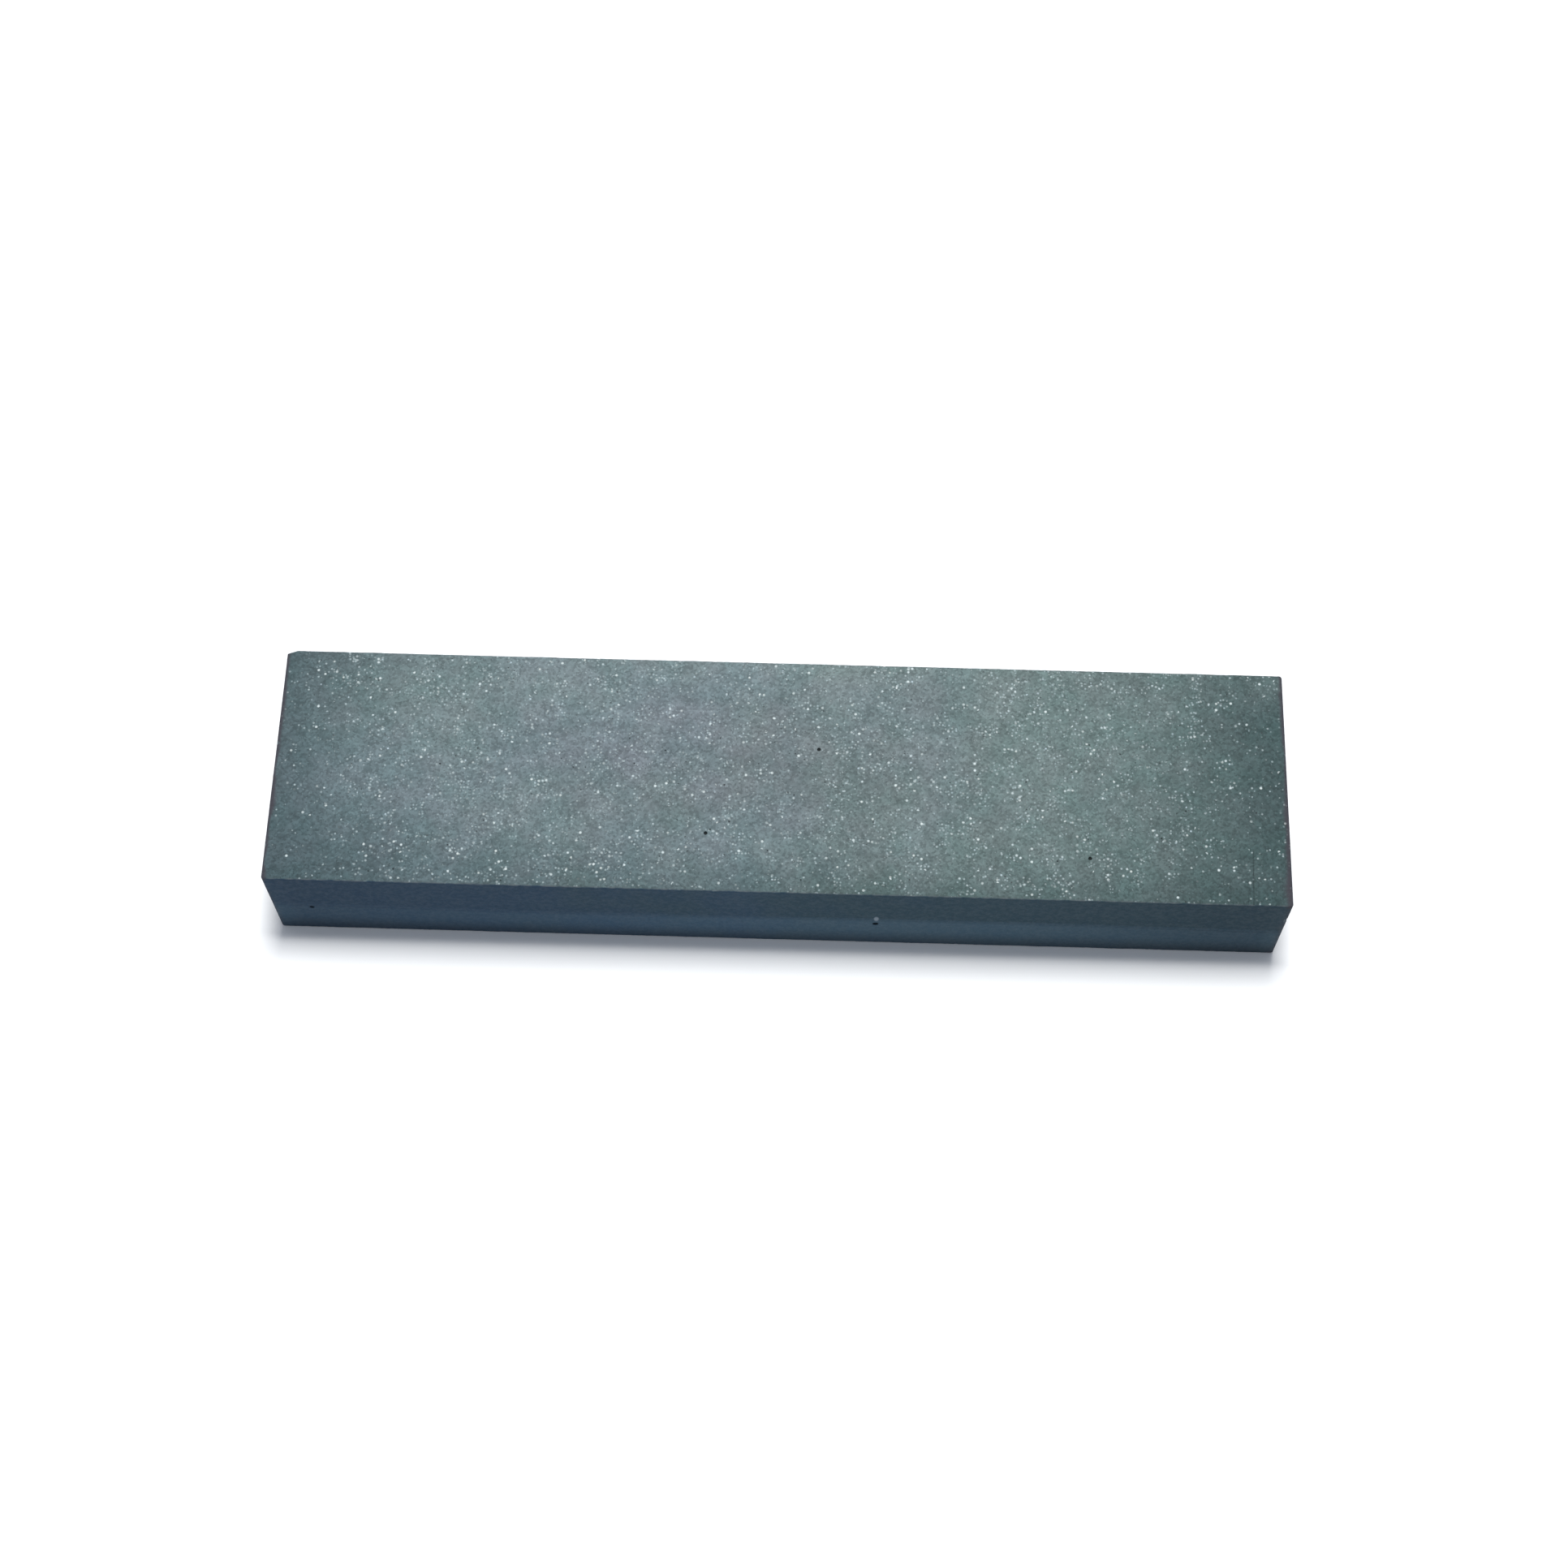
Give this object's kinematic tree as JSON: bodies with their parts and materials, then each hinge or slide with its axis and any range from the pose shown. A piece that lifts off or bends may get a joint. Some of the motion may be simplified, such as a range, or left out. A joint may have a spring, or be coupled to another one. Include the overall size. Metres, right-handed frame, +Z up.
{
  "type": "sharpening whetstone",
  "caption": "Rectangular combination bench whetstone: a coarse abrasive layer fired onto a fine one, with flat working faces and eased edges.",
  "frame": {"origin": "centre of the underside (the fine working face), so the stone stands on Z = 0", "axes": "+X along the length, +Y across the width from front to back, +Z up out of the coarse working face"},
  "size_m": [0.2, 0.05, 0.025],
  "materials": {
    "coarse_grit": "coarse open-grained bonded abrasive, matte with glinting grains",
    "fine_grit": "fine close-grained bonded abrasive, matte"
  },
  "bodies": {
    "root": {"coarse_grit_layer": "coarse_grit", "fine_grit_layer": "fine_grit"}
  },
  "joints": []
}
